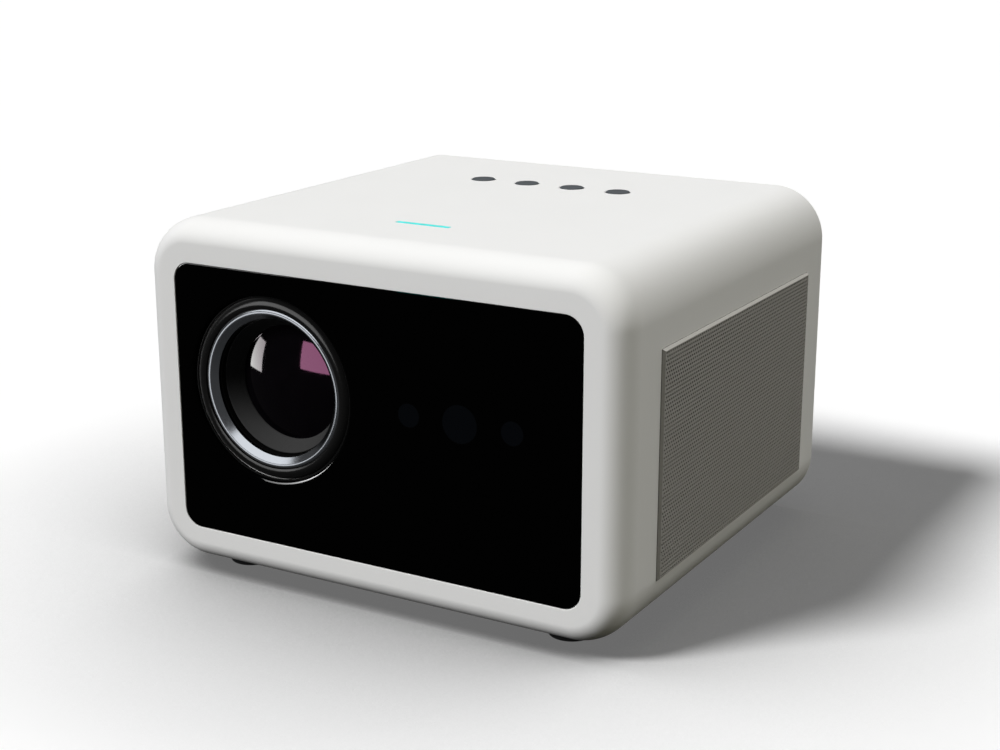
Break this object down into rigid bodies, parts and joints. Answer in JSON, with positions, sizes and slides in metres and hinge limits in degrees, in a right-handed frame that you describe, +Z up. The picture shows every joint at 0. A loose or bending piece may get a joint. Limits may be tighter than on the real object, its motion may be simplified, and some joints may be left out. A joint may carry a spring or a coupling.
{
  "type": "video projector",
  "caption": "Table-top video projector: round-edged box housing, black glass front with a motor-focused lens, speaker grilles on the sides, push buttons on top, vents and sockets behind.",
  "frame": {"origin": "on the supporting surface, under the middle of the body", "axes": "+X to the right as seen from the front, +Y from the front to the back, +Z up"},
  "size_m": [0.192, 0.172, 0.1307],
  "materials": {
    "shell_plastic": "fine satin moulded plastic, pale cool white",
    "port_plate_plastic": "satin black plastic",
    "front_glass_black": "glossy black back-printed glass",
    "screw_steel": "black zinc-plated steel",
    "grille_metal": "perforated painted steel",
    "foot_rubber": "matte black rubber",
    "insert_brass": "turned brass",
    "chassis_steel": "zinc-plated sheet steel",
    "button_plastic": "satin slate plastic",
    "circuit_board": "green solder mask",
    "power_board_resin": "brown phenolic board",
    "switch_plastic": "black plastic",
    "light_guide": "clear light guide, lit cyan",
    "lens_trim_black": "satin black trim",
    "lens_trim_chrome": "polished chrome",
    "lens_barrel_black": "matte black lens barrel",
    "lens_glass": "coated optical glass",
    "gear_plastic": "natural acetal",
    "motor_steel": "plated steel can",
    "engine_plastic": "black heat-resistant plastic",
    "lcd_glass": "dark LCD glass",
    "led_copper": "bare copper",
    "sink_aluminium": "extruded aluminium",
    "fan_plastic": "black fan plastic",
    "filter_foam": "open black foam",
    "socket_metal": "nickel-plated steel",
    "socket_plastic": "black socket plastic",
    "speaker_steel": "black painted steel",
    "cone_paper": "black paper cone",
    "sensor_black": "glossy black sensor housing"
  },
  "bodies": {
    "projector": {"housing": "shell_plastic", "rear_cover": "shell_plastic", "port_plate": "port_plate_plastic", "front_glass": "front_glass_black", "rear_cover_screws": "screw_steel", "grille_left": "grille_metal", "grille_right": "grille_metal", "foot_front_left": "foot_rubber", "foot_front_right": "foot_rubber", "foot_rear_left": "foot_rubber", "foot_rear_right": "foot_rubber", "tripod_insert": "insert_brass", "chassis": "chassis_steel", "button_board": "circuit_board", "light_bar_board": "circuit_board", "main_board": "circuit_board", "sensor_board": "circuit_board", "power_board": "power_board_resin", "button_switches": "switch_plastic", "light_bar": "light_guide", "nose_ring": "lens_trim_black", "chrome_ring": "lens_trim_chrome", "lens_tube": "lens_barrel_black", "condenser_lens": "lens_glass", "front_fresnel": "lens_glass", "rear_fresnel": "lens_glass", "heat_glass": "lens_glass", "focus_motor": "motor_steel", "engine_box": "engine_plastic", "engine_lid": "engine_plastic", "lcd_panel": "lcd_glass", "led_board": "led_copper", "heat_sink": "sink_aluminium", "fan_frame": "fan_plastic", "dust_filter": "filter_foam", "hdmi_socket": "socket_metal", "usb_sockets": "socket_metal", "audio_jack": "socket_plastic", "mains_inlet": "socket_plastic", "speaker_left": "speaker_steel", "speaker_right": "speaker_steel", "speaker_cone_left": "cone_paper", "speaker_cone_right": "cone_paper", "camera_sensor": "sensor_black", "outer_sensors": "sensor_black"},
    "lens_carriage": {"lens_barrel": "lens_barrel_black", "front_element": "lens_glass", "front_spacer": "lens_barrel_black", "middle_element": "lens_glass", "rear_spacer": "lens_barrel_black", "rear_element": "lens_glass", "element_retainer": "lens_barrel_black"},
    "focus_ring": {"focus_ring": "gear_plastic"},
    "focus_pinion": {"focus_pinion": "gear_plastic"},
    "fan_rotor": {"fan_rotor": "fan_plastic"},
    "button_1": {"top_button_1": "button_plastic"},
    "button_2": {"top_button_2": "button_plastic"},
    "button_3": {"top_button_3": "button_plastic"},
    "button_4": {"top_button_4": "button_plastic"}
  },
  "joints": [
    {"name": "focus_turn", "type": "hinge", "parent": "projector", "child": "focus_ring", "pos_m": [-0.041, -0.072, 0.074], "axis": [0, 1, 0], "range_deg": [-50, 50]},
    {"name": "lens_slide", "type": "slide", "parent": "projector", "child": "lens_carriage", "axis": [0, 1, 0], "range_m": [-0.0015, 0.0015]},
    {"name": "pinion_turn", "type": "hinge", "parent": "projector", "child": "focus_pinion", "pos_m": [-0.01028, -0.072, 0.05249], "axis": [0, 1, 0], "range_deg": [-200, 200]},
    {"name": "fan_spin", "type": "hinge", "parent": "projector", "child": "fan_rotor", "pos_m": [-0.041, 0.0765, 0.074], "axis": [0, 1, 0], "continuous": true},
    {"name": "button_1_press", "type": "slide", "parent": "projector", "child": "button_1", "axis": [0, 0, -1], "range_m": [0, 0.0006], "stiffness_N_per_m": 1500},
    {"name": "button_2_press", "type": "slide", "parent": "projector", "child": "button_2", "axis": [0, 0, -1], "range_m": [0, 0.0006], "stiffness_N_per_m": 1500},
    {"name": "button_3_press", "type": "slide", "parent": "projector", "child": "button_3", "axis": [0, 0, -1], "range_m": [0, 0.0006], "stiffness_N_per_m": 1500},
    {"name": "button_4_press", "type": "slide", "parent": "projector", "child": "button_4", "axis": [0, 0, -1], "range_m": [0, 0.0006], "stiffness_N_per_m": 1500}
  ],
  "couplings": [
    {"joint": "focus_turn", "follows": "lens_slide", "rad_per_m": 523.6},
    {"joint": "pinion_turn", "follows": "lens_slide", "rad_per_m": -2094.4}
  ]
}
